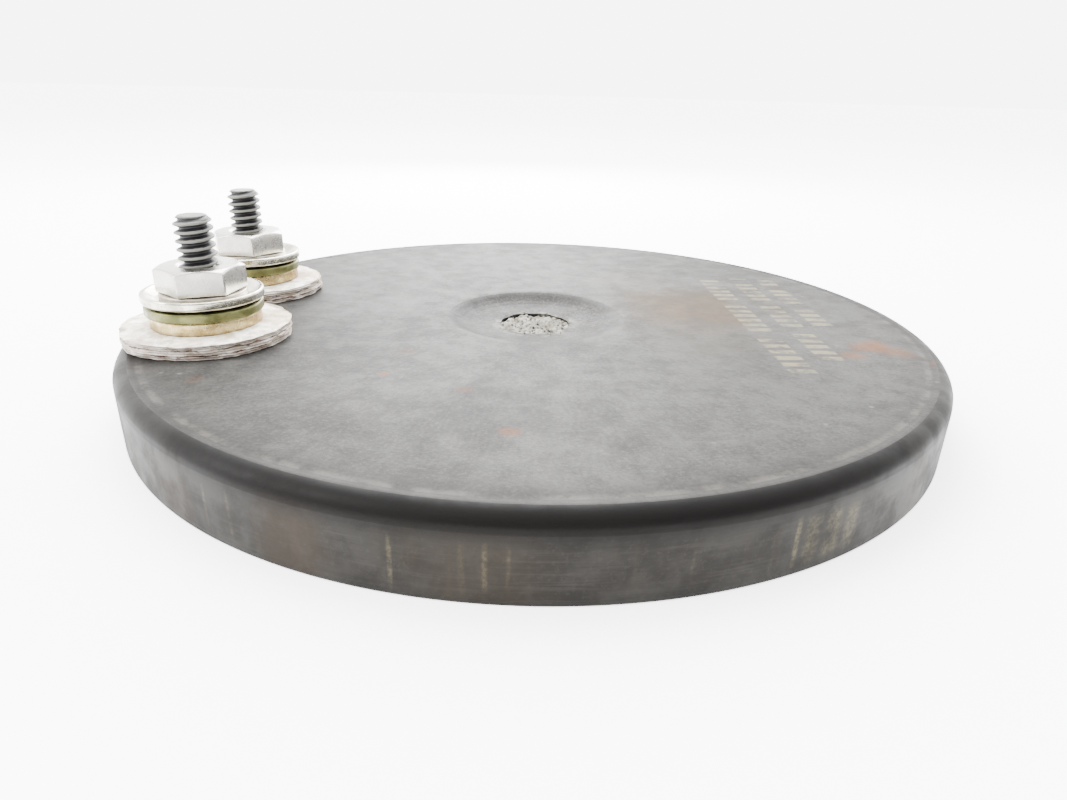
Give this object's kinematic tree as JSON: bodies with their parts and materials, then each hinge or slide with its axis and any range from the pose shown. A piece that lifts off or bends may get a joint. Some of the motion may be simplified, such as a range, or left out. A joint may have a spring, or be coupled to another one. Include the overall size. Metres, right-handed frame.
{
  "type": "disc heater with screw terminals",
  "caption": "Round sheet-steel disc heater, refractory filled, with a centre dimple and mica-insulated screw terminals near the rim.",
  "frame": {"origin": "centre of the flat working face of the case", "axes": "+Z out of the top face, along the terminal studs; -X from the centre towards the pair of terminals; +Y from the front terminal to the rear one"},
  "size_m": [0.1112, 0.1112, 0.0244],
  "materials": {
    "case_steel": "heat-darkened sheet steel with cloudy grey oxide, brown and rust stains",
    "base_steel": "flat ground sheet steel, dull",
    "refractory": "off-white granular moulded refractory",
    "resistance_wire": "nickel-chromium wire, oxidised",
    "lead_strip": "nickel strip, dull",
    "black_steel": "black oxide steel thread, dark and oily",
    "ceramic": "unglazed white ceramic",
    "mica": "layered mica, flaky off-white edge with dark red-brown seams",
    "brassy_plate": "yellowish plated steel, worn",
    "tarnished_plate": "olive-green tarnished plate",
    "nickel_plate": "bright nickel plate, lightly hazed",
    "spacer_plate": "satin plated steel",
    "nut_plate": "bright zinc plate with fine milling marks"
  },
  "bodies": {
    "root": {"shell": "case_steel", "base_plate": "base_steel", "refractory_bed": "refractory", "refractory_cover": "refractory", "resistance_coil": "resistance_wire", "coil_lead_front": "lead_strip", "coil_lead_rear": "lead_strip", "stud_front": "black_steel", "stud_rear": "black_steel", "bushing_front": "ceramic", "bushing_rear": "ceramic", "inner_mica_front": "mica", "inner_mica_rear": "mica", "mica_washer_front": "mica", "mica_washer_rear": "mica", "plain_washer_front": "brassy_plate", "plain_washer_rear": "brassy_plate", "lead_washer_front": "tarnished_plate", "lead_washer_rear": "tarnished_plate"},
    "clamp_front": {"cup_washer_front": "nickel_plate", "spacer_washer_front": "spacer_plate"},
    "nut_front": {"hex_nut_front": "nut_plate"},
    "clamp_rear": {"cup_washer_rear": "nickel_plate", "spacer_washer_rear": "spacer_plate"},
    "nut_rear": {"hex_nut_rear": "nut_plate"}
  },
  "joints": [
    {"name": "clamp_front_lift", "type": "slide", "parent": "root", "child": "clamp_front", "axis": [0, 0, 1], "range_m": [0, 0.00529]},
    {"name": "nut_front_spin", "type": "hinge", "parent": "clamp_front", "child": "nut_front", "pos_m": [-0.04307, -0.01182, 0.0167], "axis": [0, 0, 1], "range_deg": [0, 1800]},
    {"name": "clamp_rear_lift", "type": "slide", "parent": "root", "child": "clamp_rear", "axis": [0, 0, 1], "range_m": [0, 0.00529]},
    {"name": "nut_rear_spin", "type": "hinge", "parent": "clamp_rear", "child": "nut_rear", "pos_m": [-0.04473, 0.01182, 0.0167], "axis": [0, 0, 1], "range_deg": [0, 1800]}
  ],
  "couplings": [
    {"joint": "nut_front_spin", "follows": "clamp_front_lift", "rad_per_m": 5936.9},
    {"joint": "nut_rear_spin", "follows": "clamp_rear_lift", "rad_per_m": 5936.9}
  ]
}
